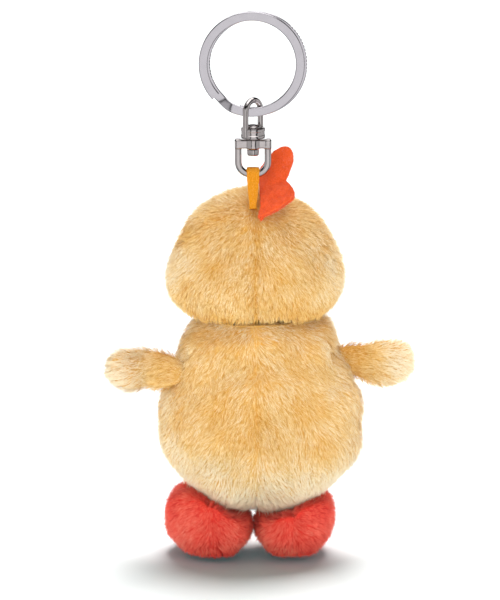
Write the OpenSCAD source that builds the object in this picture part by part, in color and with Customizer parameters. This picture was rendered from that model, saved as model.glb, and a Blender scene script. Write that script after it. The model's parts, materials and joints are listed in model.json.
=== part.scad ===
// Plush chick on a swivel and a split ring.
// Heights are worked out upwards from the soles, and place() then moves everything so that the origin is
// the inside top of the ring, where a hook or a finger bears. The chick looks along -Y, +Z is up, +X is its left.

/* [Split ring] */
// Outside diameter of the ring
ring_od = 28; // [26:0.5:32]
// Radial width of its flat wire
ring_wire_w = 3; // [2.4:0.1:3]
// Thickness of one turn of the wire
ring_turn_t = 1.05; // [0.8:0.05:1.05]

/* [Swivel] */
// Diameter of the round wire of the eye
eye_wire_d = 1.6; // [1.2:0.1:1.6]
// Distance of each leg of the eye from the swivel's axis
eye_leg_offset = 2.9; // [2.9:0.1:3.2]
// Turn of the eye about the swivel's axis
eye_yaw = 42; // [0:1:42]
// Diameter of the eye's collar
collar_d = 6.4; // [5.6:0.2:6.8]
// Diameter of the rivet's shank
rivet_d = 2; // [1.6:0.1:2.2]
// Width of the yoke over its arms
yoke_w = 9.6; // [9:0.2:11]
// Diameter of the yoke's round wire
yoke_wire_d = 1.8; // [1.5:0.1:1.8]

/* [Hanging loop] */
// Width of the tape where it passes over the yoke
tape_w = 3.3; // [2.6:0.1:3.4]
// Width of the gathered tape where it is sewn to the head
tape_seam_w = 1.9; // [1.5:0.1:2.2]
// Thickness of one layer of tape
tape_t = 0.95; // [0.6:0.05:1]

/* [Head] */
// Half width of the head
head_a = 23.2; // [21:0.2:24]
// Half depth of the head
head_b = 20.4; // [19:0.2:22]
// Height from the head's widest line up to the crown
head_up = 25; // [24:0.2:25.4]
// Depth from the widest line down to where the head would close
head_down = 16.6; // [16:0.2:17]

/* [Torso] */
// Half width of the torso
torso_a = 27.3; // [25:0.1:28]
// Height from the torso's widest line down to the seat
torso_down = 26.5; // [25.5:0.1:26.5]
// Height from the widest line up to where the shoulders would close
torso_up = 36.5; // [35:0.5:37]

/* [Wings] */
// Length of a wing from end to end
wing_len = 17.5; // [16:0.5:18]
// Width of a wing across its flat side
wing_chord = 14; // [12:0.5:15]
// Thickness of a wing
wing_t = 7.6; // [6:0.2:8]

/* [Feet] */
// Length of a foot from heel to toe
foot_len = 30; // [26:1:32]
// Height of a foot where the body doesn't press on it
foot_h = 17.4; // [15:0.2:18]

/* [Cloth] */
// Thickness of the plush cloth with its pile
cloth_t = 1.9; // [1.4:0.1:2.2]
// Thickness of one layer of the comb's felt
felt_t = 0.7; // [0.5:0.05:0.8]

/* [Hidden] */
$fn = 48;

steel = [0.72, 0.71, 0.74];
nickel = [0.55, 0.54, 0.55];
amber = [0.96, 0.63, 0.08];
felt_orange = [0.94, 0.37, 0.20];
cream = [0.95, 0.82, 0.53];
coral = [0.90, 0.31, 0.27];
fill_white = [0.96, 0.96, 0.94];
black = [0.05, 0.04, 0.04];

gap = 0.1;          // between pieces sewn or pressed together
hang_y = 8.5;       // the ring, the swivel and the loop hang in this plane, behind the middle of the chick
plush_x = -0.8;     // the middle plane of head and torso
pole_r = 0.6;       // the radius at which a panel's seams meet

// Ring
ring_r = ring_od / 2;
ring_z = 132.4;
turn_gap = 0.06;
turn_offset = (ring_turn_t + turn_gap) / 2;
ring_chamfer = 0.2;
ring_start = 318;   // where the first turn begins, in degrees from +X
ring_cross = 26;    // the stretch in which the wire crosses to the second turn, in degrees
hook_z = ring_z + ring_r - ring_wire_w;

// Swivel, all heights from the soles
eye_arch_z = ring_z - ring_r + ring_wire_w - 0.95;
collar_z = 112.7;
collar_t = 3.1;
rivet_head_r = 1.95;
rivet_head_h = 0.9;
rivet_tail_r = 1.65;
rivet_tail_h = 1.7;
running_fit = 0.05;
yoke_bar_z = 109.9;
yoke_bar_t = 2.6;
yoke_bar_depth = 2.8;
yoke_boss_r = 2.4;
yoke_bend_r = 3.3;
yoke_rod_z = 103.1;
tape_rod_gap = 0.25;

// Where the loop is sewn to the head
seam_y = 10.5;
seam_z = 96.3;

// Head and neck
head_z = 73.4;
head_power = 1.9;
neck_z = 53;
comb_lift = 1;      // how far the middle of the comb's felt starts above the cloth
neck_r = 19.15;
neck_gap = 0.35;

// Torso
torso_z = 37.2;
lean = 1.2;         // how far the belly sags to the right of the neck
seat_power = 2.12;
shoulder_power = 1.5;
torso_flat = 0.82;  // depth over width at the belly
neck_flat = 0.96;   // depth over width at the neck
clip_z = 56;

// Feet: middle of each across the front, and half its width
foot_x = [11.8, -10.8];
foot_half_w = [11.3, 10.3];
foot_y = -2;
foot_wide_z = 7.5;
sole_share = 0.8;
sole_t = 1.4;
hem_z = 0.25;

// Wings: the upright hinge line stands just outside the torso
wing_hinge_x = [26.2, -30.2];
wing_hinge_y = 1;
wing_z = [49.2, 50.4];
wing_root = 4;      // how far the root end reaches in past the hinge line
flank_slope = 0.42; // how much further out the torso is a millimetre lower, at the wings
wing_sweep = [12, 18];
wing_twist = [35, 4];

// ---- shared forms ----

// A closed curve's radius at share u of its half length, for a power of 2 an ellipse
function round_off(u, power) = pow(max(0, 1 - pow(abs(u), power)), 1 / power);
function power_sin(angle, power) = sign(angle) * pow(abs(sin(angle)), 2 / power);
function power_cos(angle, power) = pow(abs(cos(angle)), 2 / power);

// Two triangles for each cell of a grid whose points run along v first, then u
function cell(a, b, c, d) = [[a, b, c], [a, c, d]];
function turned(faces) = [for (f = faces) [f[2], f[1], f[0]]];
function grid_faces(first, nu, nv) = [
    for (i = [0:nu - 1], j = [0:nv - 1])
        let (a = first + i * (nv + 1) + j, b = a + nv + 1)
        each cell(a, a + 1, b + 1, b)
];
function edge_faces(outer, inner) = [
    for (k = [0:len(outer) - 2]) each cell(outer[k], inner[k], inner[k + 1], outer[k + 1])
];

// A shell patch: the outer surface, the inner surface and the four edge walls between them
module shell(outer, inner, nu, nv) {
    row = nv + 1;
    inside = (nu + 1) * row;
    points = [
        for (skin = [outer, inner], i = [0:nu], j = [0:nv]) skin(i / nu, j / nv)
    ];
    rim = concat(
        [for (j = [0:nv]) j],
        [for (i = [1:nu]) i * row + nv],
        [for (j = [nv - 1:-1:0]) nu * row + j],
        [for (i = [nu - 1:-1:0]) i * row]
    );
    polyhedron(points, concat(
        grid_faces(0, nu, nv),
        turned(grid_faces(inside, nu, nv)),
        edge_faces(rim, [for (k = rim) k + inside])
    ));
}

// A closed form that is round in u, with a small flat cap at each end of v
module closed_form(skin, nu, nv) {
    row = nv + 1;
    points = [for (i = [0:nu - 1], j = [0:nv]) skin(i / nu, j / nv)];
    polyhedron(points, concat(
        [for (i = [0:nu - 1], j = [0:nv - 1])
            let (a = i * row + j, b = ((i + 1) % nu) * row + j)
            each cell(a, a + 1, b + 1, b)],
        [for (i = [1:nu - 2]) [0, i * row, (i + 1) * row]],
        [for (i = [1:nu - 2]) [(i + 1) * row + nv, i * row + nv, nv]]
    ));
}

module place() {
    translate([0, -hang_y, -hook_z]) children();
}

// ---- ring and swivel ----

// The wire's section at one angle: a chamfered rectangle, shifted sideways by the turn that it is on
function ring_station(angle, side) =
    let (
        w = ring_wire_w / 2,
        t = ring_turn_t / 2,
        c = ring_chamfer,
        mid = ring_r - w
    )
    [for (p = [
        [-w + c, -t], [w - c, -t], [w, -t + c], [w, t - c],
        [w - c, t], [-w + c, t], [-w, t - c], [-w, -t + c]
    ]) [(mid + p[0]) * cos(angle), side + p[1], (mid + p[0]) * sin(angle)]];

// The wire starts in the turn on the +Y side, crosses over once and comes round again in the other turn
module split_ring() {
    ends_gap = 1.2; // degrees left open beside the crossing
    turn = 360 - ring_cross - ends_gap;
    stations = [
        for (a = [0:5:turn - 1]) [a, turn_offset],
        [turn, turn_offset],
        for (k = [1:5]) [turn + k * ring_cross / 6, turn_offset * cos(180 * k / 6)],
        for (a = [0:5:turn - 1]) [turn + ring_cross + a, -turn_offset],
        [2 * turn + ring_cross, -turn_offset]
    ];
    sides = 8;
    last = len(stations) - 1;
    points = [for (s = stations) each ring_station(ring_start + s[0], s[1])];
    color(steel) place() translate([0, hang_y, ring_z])
        polyhedron(points, concat(
            [for (i = [0:last - 1], k = [0:sides - 1])
                let (a = i * sides + k, b = i * sides + (k + 1) % sides)
                each [[a, b, b + sides], [a, b + sides, a + sides]]],
            [for (k = [1:sides - 2]) [0, k + 1, k]],
            [for (k = [1:sides - 2]) [last * sides, last * sides + k, last * sides + k + 1]]
        ));
}

// An upside-down U of round wire on a drilled collar
module swivel_eye() {
    leg_end_z = collar_z + 0.9;
    color(nickel) place() translate([0, hang_y, 0]) difference() {
        union() {
            rotate([0, 0, 90 - eye_yaw]) {
                translate([0, 0, eye_arch_z]) rotate([90, 0, 0])
                    rotate_extrude(angle = 180) translate([eye_leg_offset, 0]) circle(d = eye_wire_d);
                for (side = [-1, 1]) translate([side * eye_leg_offset, 0, leg_end_z]) {
                    cylinder(d = eye_wire_d, h = eye_arch_z - leg_end_z);
                    sphere(d = eye_wire_d);
                }
            }
            translate([0, 0, collar_z]) rotate_extrude() polygon([
                [0, 0], [collar_d / 2 - 0.3, 0], [collar_d / 2, 0.3],
                [collar_d / 2, collar_t - 0.4], [collar_d / 2 - 0.4, collar_t], [0, collar_t]
            ]);
        }
        translate([0, 0, collar_z - 1]) cylinder(d = rivet_d, h = collar_t + 1.9);
    }
}

// Domed head, plain shank and riveted tail, turned as one
module swivel_rivet() {
    head_z0 = collar_z + collar_t + 0.02;
    tail_z = yoke_bar_z - 0.15;
    dome = [for (a = [0:15:75]) [rivet_head_r * cos(a), head_z0 + 0.15 + (rivet_head_h - 0.15) * sin(a)]];
    color(nickel) place() translate([0, hang_y, 0]) rotate_extrude() polygon(concat(
        [[0, tail_z - rivet_tail_h], [rivet_tail_r - 0.4, tail_z - rivet_tail_h],
            [rivet_tail_r, tail_z - rivet_tail_h + 0.4], [rivet_tail_r, tail_z],
            [rivet_d / 2, tail_z], [rivet_d / 2, head_z0], [rivet_head_r, head_z0]],
        dome,
        [[0, head_z0 + rivet_head_h]]
    ));
}

// A drilled bar with a round boss, two arms and a round rod bent across their ends
module swivel_yoke() {
    arm_x = (yoke_w - yoke_wire_d) / 2;
    bend_z = yoke_rod_z + yoke_bend_r;
    flat = arm_x - yoke_bend_r;
    color(nickel) place() translate([0, hang_y, 0]) difference() {
        union() {
            translate([0, 0, yoke_bar_z]) linear_extrude(yoke_bar_t) {
                square([yoke_w, yoke_bar_depth], center = true);
                circle(r = yoke_boss_r);
            }
            for (side = [-1, 1]) {
                translate([side * arm_x, 0, bend_z])
                    cylinder(d = yoke_wire_d, h = yoke_bar_z + 0.5 - bend_z);
                translate([side * flat, 0, bend_z]) rotate([90, 0, 0])
                    rotate_extrude(angle = 90, start = side > 0 ? 270 : 180)
                        translate([yoke_bend_r, 0]) circle(d = yoke_wire_d);
            }
            translate([-flat, 0, yoke_rod_z]) rotate([0, 90, 0]) cylinder(d = yoke_wire_d, h = 2 * flat);
        }
        translate([0, 0, yoke_bar_z - 1]) cylinder(r = rivet_d / 2 + running_fit, h = yoke_bar_t + 2);
    }
}

// ---- hanging loop ----

// The outline, in the plane of the loop, of a band that leaves a round end and runs in to a narrow one
module drop(top_r, low_r, low_y, low_z) {
    reach = norm([low_y, low_z]);
    lean = atan2(low_z, low_y);
    open = acos((top_r - low_r) / reach);
    polygon(concat(
        [for (k = [0:24]) let (a = lean + open + (360 - 2 * open) * k / 24) top_r * [cos(a), sin(a)]],
        [for (k = [0:8]) let (a = lean - open + 2 * open * k / 8)
            [low_y, low_z] + low_r * [cos(a), sin(a)]]
    ));
}

// Tape over the yoke's rod, its two ends brought together and rounded where they turn at the seam
module hanging_loop() {
    inner_r = yoke_wire_d / 2 + tape_rod_gap;
    drop_y = seam_y - hang_y;
    drop_z = seam_z - yoke_rod_z;
    end_r = tape_seam_w / 2;
    color(amber) place() intersection() {
        translate([-tape_w, hang_y, yoke_rod_z]) rotate([90, 0, 90]) linear_extrude(2 * tape_w)
            difference() {
                drop(inner_r + tape_t, tape_t, drop_y * 1.15, drop_z * 1.15);
                drop(inner_r, 0.12, drop_y * 0.72, drop_z * 0.72);
            }
        translate([0, seam_y + 8, 0]) rotate([90, 0, 0]) linear_extrude(20) {
            polygon([
                [-end_r, seam_z], [end_r, seam_z], [tape_w / 2, yoke_rod_z - 1], [tape_w / 2, yoke_rod_z + 4],
                [-tape_w / 2, yoke_rod_z + 4], [-tape_w / 2, yoke_rod_z - 1]
            ]);
            translate([0, seam_z]) circle(r = end_r);
        }
    }
}

// ---- head ----

// A point of the head, inset from its surface, at a longitude (90 is the back) and from 0 at the neck to 1 at the crown
function head_point(inset, lon, share) =
    let (
        a = head_a - inset,
        b = head_b - inset,
        down = head_down - inset,
        up = head_up - inset,
        socket_r = neck_r + neck_gap,
        rise = head_z - neck_z,
        across2 = pow(a * cos(lon), 2) + pow(b * sin(lon), 2),
        k = 1 - across2 / (down * down),
        rim = (rise - sqrt(rise * rise - k * (across2 + rise * rise - socket_r * socket_r))) / k,
        low = -asin(rim / down),
        high = 90 - pole_r * 2,
        angle = low + (high - low) * share,
        r = angle < 0 ? cos(angle) : power_cos(angle, head_power),
        z = angle < 0 ? down * sin(angle) : up * power_sin(angle, head_power)
    )
    [plush_x + a * r * cos(lon), b * r * sin(lon), head_z + z];

module head_panel(lon_from) {
    nip = 0.15;
    lon = function(u) lon_from + nip + (90 - 2 * nip) * u;
    color(cream) place() shell(
        function(u, v) head_point(0, lon(u), v),
        function(u, v) head_point(cloth_t, lon(u), v),
        9, 14
    );
}

module head_back_left_panel() { head_panel(0); }
module head_back_right_panel() { head_panel(90); }
module head_face_right_panel() { head_panel(180); }
module head_face_left_panel() { head_panel(270); }

// The filling, hollow underneath where it sits on the round top of the torso
function head_fill_point(lon, v) =
    let (
        inset = cloth_t + gap,
        under = 0.3,
        rim = head_point(inset, lon, 0),
        rim_angle = atan2(norm([rim[0] - plush_x, rim[1]]), rim[2] - neck_z),
        angle = 2 + (rim_angle - 2) * v / under,
        socket_r = neck_r + neck_gap,
        bearing = atan2(rim[1], rim[0] - plush_x)
    )
    v < under
        ? [plush_x + socket_r * sin(angle) * cos(bearing), socket_r * sin(angle) * sin(bearing),
            neck_z + socket_r * cos(angle)]
        : head_point(inset, lon, (v - under) / (1 - under));

module head_stuffing() {
    color(fill_white) place() closed_form(function(u, v) head_fill_point(360 * u, v), 32, 20);
}

// ---- comb ----

// The comb's free edge from the nape round both lobes to the crown, and the seam below each point as its distance
// behind the crown. It leans over to the chick's right.
comb_edge = [
    [-2.6, 14.8, 92.8, 14.2], [-6.4, 14, 94.6, 13.2], [-10.2, 11.6, 97, 12], [-10.9, 9.6, 98, 10.6],
    [-9.9, 7, 99.5, 9.2], [-8.5, 5, 100.5, 7.8], [-9.6, 4.2, 102.8, 6.4], [-10.6, 3.2, 105.8, 5.2],
    [-10.2, 2.4, 108.2, 4.2], [-8.8, 1.8, 109.3, 3.4], [-6.3, 1.8, 108.4, 2.8], [-3.8, 1.8, 105.8, 2.2],
    [-2, 1.6, 102.4, 1.8], [-1.5, 1.2, 100, 1.4]
];

// A smooth curve through the points of a list, at share s of its length
function along(list, s) =
    let (
        x = min(max(s, 0), 0.9999) * (len(list) - 1),
        i = floor(x),
        t = x - i,
        p0 = list[max(i - 1, 0)],
        p1 = list[i],
        p2 = list[i + 1],
        p3 = list[min(i + 2, len(list) - 1)]
    )
    0.5 * (2 * p1 + (p2 - p0) * t + (2 * p0 - 5 * p1 + 4 * p2 - p3) * t * t + (3 * (p1 - p2) + p3 - p0) * t * t * t);

function comb_sheet(s, t) =
    let (
        edge = along(comb_edge, s),
        y = edge[3],
        root = [plush_x - 0.7, y, head_z + comb_lift + head_up * round_off(y / head_b, head_power)],
        tip = [edge[0], edge[1], edge[2]],
        crown = [0, 0, 0.5 * sin(180 * t)]
    )
    root + (tip - root) * t + crown;

function unit(v) = v / norm(v);
function comb_layer(s, t, offset) =
    let (
        e = 0.01,
        s1 = min(s + e, 1),
        s0 = max(s - e, 0),
        t1 = min(t + e, 1),
        t0 = max(t - e, 0),
        normal = unit(cross(comb_sheet(s1, t) - comb_sheet(s0, t), comb_sheet(s, t1) - comb_sheet(s, t0)))
    )
    comb_sheet(s, t) + offset * normal;

module comb_felt(from, to) {
    color(felt_orange) place() shell(
        function(u, v) comb_layer(u, 0.06 + 0.94 * v, to),
        function(u, v) comb_layer(u, 0.06 + 0.94 * v, from),
        30, 4
    );
}

module comb_left_felt() { comb_felt(-felt_t - gap / 2, -gap / 2); }
module comb_right_felt() { comb_felt(gap / 2, felt_t + gap / 2); }

// ---- face ----

beak_z = 70.5;
beak_w = 9.5;
beak_len = 10;
beak_h = 4.2;
eye_r = 2.5;
eye_dome_h = 1.7;
eye_stem_r = 0.9;
eye_stem_len = 5;
eye_at = [8.2, -19.3, 77.5];
eye_turn = 21;
washer_r = 3;
washer_t = 0.8;
washer_depth = 4;  // how far its inner face lies below the eye's rim

// A flat padded bill: half a lens, wide at the face and rounded at the tip
function bill_point(u, v, side) =
    let (
        s = 0.03 + 0.94 * v,
        wide = round_off(2 * s - 1, 2.2),
        angle = 360 * u
    )
    [
        plush_x + beak_w / 2 * wide * cos(angle),
        -head_b + 3.2 - beak_len * s,
        beak_z + side * (0.1 + beak_h / 2 * wide * (0.5 + 0.5 * sin(angle * side) * side)) - 1.2 * s * s
    ];

module beak_upper() {
    color(felt_orange) place() closed_form(function(u, v) bill_point(u, v, 1), 16, 10);
}

module beak_lower() {
    color(felt_orange) place() closed_form(function(u, v) bill_point(u, v, -1), 16, 10);
}

// side is 1 on the chick's left and -1 on its right
module at_eye(side) {
    translate([plush_x + side * eye_at[0], eye_at[1], eye_at[2]])
        rotate([0, 0, side * eye_turn]) rotate([84, 0, 0]) children();
}

module toy_eye(side) {
    dome = [for (a = [0:15:75]) [eye_r * cos(a), 0.3 + (eye_dome_h - 0.3) * sin(a)]];
    color(black) place() at_eye(side) rotate_extrude() polygon(concat(
        [[0, -eye_stem_len], [eye_stem_r, -eye_stem_len], [eye_stem_r, 0], [eye_r, 0]],
        dome,
        [[0, eye_dome_h]]
    ));
}

module eye_washer(side) {
    color(fill_white) place() at_eye(side) translate([0, 0, -washer_depth]) difference() {
        cylinder(r = washer_r, h = washer_t);
        translate([0, 0, -1]) cylinder(r = eye_stem_r, h = washer_t + 2);
    }
}

module eye_left() { toy_eye(1); }
module eye_right() { toy_eye(-1); }
module eye_washer_left() { eye_washer(1); }
module eye_washer_right() { eye_washer(-1); }

// ---- torso ----

// A point of the torso, inset from its surface, from 0 at the seat to 1 at the top of the neck dome
function torso_point(inset, lon, share) =
    let (
        top = 90 - pole_r * 2,
        angle = top * (2 * share - 1),
        power = angle < 0 ? seat_power : shoulder_power,
        height = (angle < 0 ? torso_down : torso_up) - inset,
        z = height * power_sin(angle, power),
        ease = min(max((z - 2) / 20, 0), 1),
        flat = torso_flat + (neck_flat - torso_flat) * ease * ease * (3 - 2 * ease),
        r = (torso_a - inset) * power_cos(angle, power),
        p = [r * cos(lon), r * flat * sin(lon), torso_z + z],
        from_neck = p - [0, 0, neck_z],
        limit = neck_r - inset + 0.6 * max(0, clip_z - p[2]),
        held = p[2] > neck_z && norm(from_neck) > limit
            ? [0, 0, neck_z] + from_neck * limit / norm(from_neck)
            : p,
        sag = min(max((58 - held[2]) / 8, 0), 1)
    )
    [plush_x - lean * sag * sag * (3 - 2 * sag), 0, 0] + held;

module torso_panel(lon_from) {
    nip = 0.15;
    lon = function(u) lon_from + nip + (90 - 2 * nip) * u;
    color(cream) place() shell(
        function(u, v) torso_point(0, lon(u), v),
        function(u, v) torso_point(cloth_t, lon(u), v),
        9, 20
    );
}

module body_back_left_panel() { torso_panel(0); }
module body_back_right_panel() { torso_panel(90); }
module body_front_right_panel() { torso_panel(180); }
module body_front_left_panel() { torso_panel(270); }

module body_stuffing() {
    color(fill_white) place()
        closed_form(function(u, v) torso_point(cloth_t + gap, 360 * u, v), 32, 20);
}

// ---- wings ----

// A point of a wing in its own frame: x runs out to the tip, z is up, and u goes round from the top by the back.
// Near the root the wing slants to lie along the torso.
function wing_point(i, inset, u, v) =
    let (
        len = wing_len - 2 * inset,
        s = 0.01 + 0.98 * v,
        full = round_off(2 * s - 1, s < 0.5 ? 3 : 2.3) * (0.92 + 0.08 * s),
        thin = inset * min(1, full * 1.3),
        y = (wing_t / 2 * full - thin) * sin(360 * u),
        z = (wing_chord / 2 * full - thin) * cos(360 * u),
        below = -y * sin(wing_twist[i]) - z * cos(wing_twist[i])
    )
    [inset + len * s - wing_root + flank_slope * below * pow(1 - s, 3), y, z];

// i is 0 on the left and 1 on the right
module at_wing(i) {
    sweep = i == 0 ? wing_sweep[0] : 180 + wing_sweep[1];
    translate([wing_hinge_x[i], wing_hinge_y, wing_z[i]])
        rotate([0, 0, sweep]) rotate([wing_twist[i], 0, 0]) children();
}

// half is 0 for the side with +Y in the wing's own frame and 1 for the other
module wing_panel(i, half) {
    nip = 0.004;
    round = function(u) half / 2 + nip + (0.5 - 2 * nip) * u;
    color(cream) place() at_wing(i) shell(
        function(u, v) wing_point(i, 0, 1 - round(u), v),
        function(u, v) wing_point(i, 1.5, 1 - round(u), v),
        8, 12
    );
}

module wing_stuffing(i) {
    color(fill_white) place() at_wing(i)
        closed_form(function(u, v) wing_point(i, 1.5 + gap, 1 - u, v), 16, 12);
}

module wing_left_back_panel() { wing_panel(0, 1); }
module wing_left_front_panel() { wing_panel(0, 0); }
module wing_left_stuffing() { wing_stuffing(0); }
module wing_right_back_panel() { wing_panel(1, 0); }
module wing_right_front_panel() { wing_panel(1, 1); }
module wing_right_stuffing() { wing_stuffing(1); }

// ---- feet ----

// The underside of the torso over a point, and the least room below it that lets a foot tip
function seat_z(x, y) =
    let (share = min(norm([(x - plush_x + lean) / torso_a, y / (torso_a * torso_flat)]), 1))
    torso_z - torso_down * round_off(share, seat_power);
function foot_ceiling(x, y) = seat_z(x, y) - 0.75 - 0.24 * abs(y);

// A point of a foot: v runs from the rim of the sole out, up the side and over to the middle of the top
function foot_point(i, inset, lon, v) =
    let (
        turn = 0.25,
        half_w = foot_half_w[i] - inset,
        half_len = foot_len / 2 - inset,
        low = hem_z + inset * 0.7,
        under = sole_share,
        side_angle = 90 * v / turn,
        top_angle = 88 * (v - turn) / (1 - turn),
        share = v < turn ? under + (1 - under) * sin(side_angle) : power_cos(top_angle, 2.5),
        heel = 1 + 0.12 * sin(lon),
        rise = foot_h - inset - foot_wide_z,
        z = v < turn ? low + (foot_wide_z - low) * (1 - cos(side_angle))
            : foot_wide_z + rise * power_sin(top_angle, 2.5) * (0.86 + 0.14 * share * sin(lon)),
        x = foot_x[i] + half_w * share * cos(lon) * heel,
        y = foot_y + half_len * share * sin(lon)
    )
    [x, y, min(z, foot_ceiling(x, y) - inset)];

// The upper is one skin, open underneath where the sole closes it
module foot_upper(i) {
    nu = 32;
    nv = 14;
    row = nv + 1;
    inside = nu * row;
    points = [
        for (inset = [0, 1.5], k = [0:nu - 1], j = [0:nv]) foot_point(i, inset, 360 * k / nu, j / nv)
    ];
    wall = [for (k = [0:nu - 1], j = [0:nv - 1])
        let (a = k * row + j, b = ((k + 1) % nu) * row + j)
        each cell(a, a + 1, b + 1, b)];
    hem = [for (k = [0:nu - 1])
        let (a = k * row, b = ((k + 1) % nu) * row)
        each cell(a, b, b + inside, a + inside)];
    color(coral) place() polyhedron(points, concat(
        wall,
        [for (f = wall) [f[2] + inside, f[1] + inside, f[0] + inside]],
        hem,
        [for (k = [1:nu - 2]) [(k + 1) * row + nv, k * row + nv, nv]],
        [for (k = [1:nu - 2]) [nv + inside, k * row + nv + inside, (k + 1) * row + nv + inside]]
    ));
}

function sole_point(i, share, lon, z) = [
    foot_x[i] + share * foot_half_w[i] * cos(lon) * (1 + 0.12 * sin(lon)),
    foot_y + share * foot_len / 2 * sin(lon),
    z
];

module foot_sole(i) {
    share = sole_share - 0.16;
    outline = [for (k = [0:35]) let (p = sole_point(i, share, 10 * k, 0)) [p[0], p[1]]];
    color(coral) place() linear_extrude(sole_t) polygon(outline);
}

module foot_stuffing(i) {
    inset = 1.5 + gap;
    color(fill_white) place() closed_form(
        function(u, v) v < 0.12
            ? sole_point(i, 0.1 + (sole_share - 0.24) * v / 0.12, 360 * u, sole_t + gap)
            : foot_point(i, inset, 360 * u, (v - 0.12) / 0.88) + [0, 0, v < 0.2 ? 0.4 : 0],
        28, 14
    );
}

module foot_left_upper() { foot_upper(0); }
module foot_left_sole() { foot_sole(0); }
module foot_left_stuffing() { foot_stuffing(0); }
module foot_right_upper() { foot_upper(1); }
module foot_right_sole() { foot_sole(1); }
module foot_right_stuffing() { foot_stuffing(1); }

split_ring();
swivel_eye();
swivel_rivet();
swivel_yoke();
hanging_loop();
comb_left_felt();
comb_right_felt();
head_back_left_panel();
head_back_right_panel();
head_face_left_panel();
head_face_right_panel();
head_stuffing();
beak_upper();
beak_lower();
eye_left();
eye_right();
eye_washer_left();
eye_washer_right();
body_back_left_panel();
body_back_right_panel();
body_front_left_panel();
body_front_right_panel();
body_stuffing();
wing_left_front_panel();
wing_left_back_panel();
wing_left_stuffing();
wing_right_front_panel();
wing_right_back_panel();
wing_right_stuffing();
foot_left_upper();
foot_left_sole();
foot_left_stuffing();
foot_right_upper();
foot_right_sole();
foot_right_stuffing();
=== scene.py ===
"""The looks of a plush chick on a swivel and a split ring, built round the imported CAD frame.

Lengths in this script are in millimetres, in the frame's own axes: +Z is up, the chick looks along -Y and +X
is its left. make_piece() turns them into Blender's metres.
"""

import json
import math

import bpy
import numpy as np
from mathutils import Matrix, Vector, kdtree
from mathutils.bvhtree import BVHTree


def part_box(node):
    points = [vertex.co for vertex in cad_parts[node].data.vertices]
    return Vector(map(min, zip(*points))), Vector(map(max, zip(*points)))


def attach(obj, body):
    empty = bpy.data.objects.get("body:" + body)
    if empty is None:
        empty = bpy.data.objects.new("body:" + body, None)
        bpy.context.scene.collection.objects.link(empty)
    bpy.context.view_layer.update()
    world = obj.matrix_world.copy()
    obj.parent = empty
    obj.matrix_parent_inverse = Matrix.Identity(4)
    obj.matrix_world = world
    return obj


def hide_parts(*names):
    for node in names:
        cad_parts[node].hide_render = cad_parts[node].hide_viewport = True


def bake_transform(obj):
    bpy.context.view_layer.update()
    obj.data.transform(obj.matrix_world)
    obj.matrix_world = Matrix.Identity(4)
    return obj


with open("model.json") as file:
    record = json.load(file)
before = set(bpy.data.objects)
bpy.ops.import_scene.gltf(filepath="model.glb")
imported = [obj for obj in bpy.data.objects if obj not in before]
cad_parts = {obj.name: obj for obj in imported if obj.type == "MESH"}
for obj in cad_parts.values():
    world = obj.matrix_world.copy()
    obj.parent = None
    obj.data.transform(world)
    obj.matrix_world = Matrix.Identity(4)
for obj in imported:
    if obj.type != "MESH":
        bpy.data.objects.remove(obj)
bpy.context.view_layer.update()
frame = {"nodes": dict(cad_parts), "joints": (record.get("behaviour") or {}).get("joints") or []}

MM = 0.001


# ---- the frame, in millimetres ----

def span(*nodes):
    """The lowest and highest corner of some CAD nodes together."""
    boxes = [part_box(n) for n in nodes]
    low = np.min([np.array(b[0]) for b in boxes], axis=0) / MM
    high = np.max([np.array(b[1]) for b in boxes], axis=0) / MM
    return low, high


def pivot(joint):
    """The place of a joint."""
    found = next(j for j in frame["joints"] if j["name"] == joint)
    return np.array(found["pos_m"]) / MM


def cad_tree(nodes):
    """A search tree over the surfaces of some CAD nodes."""
    points, faces = [], []
    for n in nodes:
        mesh = frame["nodes"][n].data
        first = len(points)
        points += [v.co / MM for v in mesh.vertices]
        faces += [[first + i for i in p.vertices] for p in mesh.polygons]
    return BVHTree.FromPolygons(points, faces)


HEAD_PANELS = [f"head_{part}_panel" for part in ("back_left", "back_right", "face_left", "face_right")]
TORSO_PANELS = [f"body_{part}_panel" for part in ("back_left", "back_right", "front_left", "front_right")]

head_low, head_high = span(*HEAD_PANELS)
torso_low, torso_high = span(*TORSO_PANELS)
plush_x = (head_low[0] + head_high[0]) / 2
mid_x = (torso_low[0] + torso_high[0]) / 2
mid_y = pivot("neck_tilt")[1]
floor_z = span("foot_left_sole", "foot_right_sole")[0][2]
tape_foot = pivot("tape_flex")
neck_ball = torso_high[2] - pivot("neck_tilt")[2]


# ---- small tools ----

UP = np.array([0.0, 0.0, 1.0])
DOWN = np.array([0.0, 0.0, -1.0])


def unit(v):
    """Vectors scaled to a length of 1."""
    return v / np.maximum(np.linalg.norm(v, axis=-1, keepdims=True), 1e-9)


def step(low, high, x):
    """0 below low, 1 above high and smooth between."""
    t = np.clip((x - low) / (high - low), 0, 1)
    return t * t * (3 - 2 * t)


def bell(x, width):
    """1 at 0, fading on both sides over about a width."""
    return np.exp(-((x / width) ** 2))


def ripple(points, size, seed):
    """A smooth random field over points with about unit spread, whose bumps are about size across."""
    rng = np.random.default_rng(seed)
    waves = 10
    total = np.zeros(len(points))
    for _ in range(waves):
        wave = unit(rng.normal(size=3)) * 2 * math.pi / (size * rng.uniform(1.2, 2.6))
        total += np.sin(points @ wave + rng.uniform(0, 2 * math.pi))
    return total / math.sqrt(waves / 2)


def flat_on(vectors, normals):
    """The part of each vector that lies in the surface, unscaled."""
    return vectors - normals * np.sum(vectors * normals, axis=1, keepdims=True)


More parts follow.
